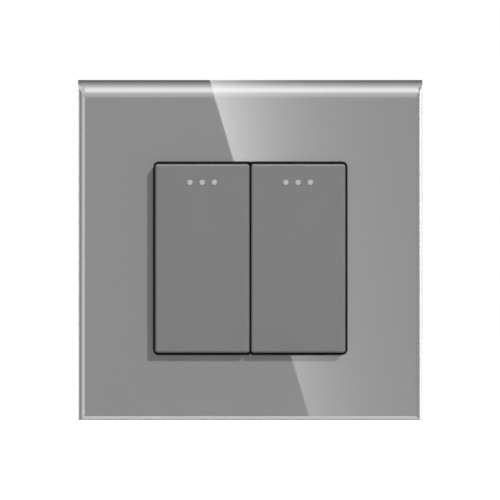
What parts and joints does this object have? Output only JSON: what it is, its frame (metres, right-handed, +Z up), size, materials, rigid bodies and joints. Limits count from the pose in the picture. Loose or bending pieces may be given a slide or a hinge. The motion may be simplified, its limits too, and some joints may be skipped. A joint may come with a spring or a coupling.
{
  "type": "double light switch",
  "caption": "Flush wall light switch: tilting rockers in a grey glass panel, on a slotted steel support plate with a contact housing behind it.",
  "frame": {"origin": "middle of the fixing slots, on the wall plane; also the middle of the rockers", "axes": "+X to the right, +Z up, -Y out of the wall towards the room"},
  "size_m": [0.086, 0.0368, 0.085],
  "materials": {
    "grey_glass": "clear toughened glass with grey enamel on its back, polished edges",
    "foam_tape": "double-sided acrylic foam tape",
    "carrier_plastic": "moulded polycarbonate, fine texture",
    "galvanised_steel": "zinc-plated pressed sheet",
    "frame_plastic": "black moulded polycarbonate",
    "screw_steel": "zinc-plated screws",
    "housing_plastic": "moulded flame-retardant polycarbonate",
    "rocker_plastic": "grey moulded polycarbonate, satin texture",
    "dot_plastic": "translucent pale acrylic",
    "cradle_plastic": "natural acetal",
    "plunger_plastic": "natural acetal",
    "spring_steel": "drawn stainless spring wire",
    "brass": "stamped and machined brass",
    "contact_silver": "silver alloy contacts"
  },
  "bodies": {
    "housing_body": {"glass_panel": "grey_glass", "bonding_tape": "foam_tape", "panel_carrier": "carrier_plastic", "support_plate": "galvanised_steel", "module_frame": "frame_plastic", "plate_screws": "screw_steel", "base_housing": "housing_plastic", "left_fixed_contact_rivets": "contact_silver", "left_upper_contact": "brass", "left_lower_contact": "brass", "left_common_bracket": "brass", "left_clamp_screws": "screw_steel", "left_upper_terminal": "brass", "left_lower_terminal": "brass", "left_common_terminal": "brass", "right_fixed_contact_rivets": "contact_silver", "right_upper_contact": "brass", "right_lower_contact": "brass", "right_common_bracket": "brass", "right_clamp_screws": "screw_steel", "right_upper_terminal": "brass", "right_lower_terminal": "brass", "right_common_terminal": "brass"},
    "left_rocker_body": {"left_rocker": "rocker_plastic", "left_rocker_dots": "dot_plastic", "left_cradle": "cradle_plastic", "left_plunger_spring": "spring_steel"},
    "left_contact_body": {"left_seesaw_contact": "brass", "left_contact_tips": "contact_silver"},
    "left_plunger_body": {"left_plunger": "plunger_plastic"},
    "right_rocker_body": {"right_rocker": "rocker_plastic", "right_rocker_dots": "dot_plastic", "right_cradle": "cradle_plastic", "right_plunger_spring": "spring_steel"},
    "right_contact_body": {"right_seesaw_contact": "brass", "right_contact_tips": "contact_silver"},
    "right_plunger_body": {"right_plunger": "plunger_plastic"}
  },
  "joints": [
    {"name": "left_rocker_tilt", "type": "hinge", "parent": "housing_body", "child": "left_rocker_body", "pos_m": [-0.01197, -0.0068, 0], "axis": [1, 0, 0], "range_deg": [-4, 4]},
    {"name": "left_contact_tilt", "type": "hinge", "parent": "housing_body", "child": "left_contact_body", "pos_m": [-0.01197, 0.007, 0], "axis": [1, 0, 0], "range_deg": [-6.5, 6.5]},
    {"name": "left_plunger_slide", "type": "slide", "parent": "left_rocker_body", "child": "left_plunger_body", "axis": [0, -1, 0], "range_m": [0, 0.0007], "stiffness_N_per_m": 500, "springref_m": -0.004, "deforming": ["left_plunger_spring"]},
    {"name": "right_rocker_tilt", "type": "hinge", "parent": "housing_body", "child": "right_rocker_body", "pos_m": [0.01197, -0.0068, 0], "axis": [1, 0, 0], "range_deg": [-4, 4]},
    {"name": "right_contact_tilt", "type": "hinge", "parent": "housing_body", "child": "right_contact_body", "pos_m": [0.01197, 0.007, 0], "axis": [1, 0, 0], "range_deg": [-6.5, 6.5]},
    {"name": "right_plunger_slide", "type": "slide", "parent": "right_rocker_body", "child": "right_plunger_body", "axis": [0, -1, 0], "range_m": [0, 0.0007], "stiffness_N_per_m": 500, "springref_m": -0.004, "deforming": ["right_plunger_spring"]}
  ],
  "couplings": [
    {"joint": "left_contact_tilt", "follows": "left_rocker_tilt", "ratio": -1.5},
    {"joint": "right_contact_tilt", "follows": "right_rocker_tilt", "ratio": -1.5}
  ]
}
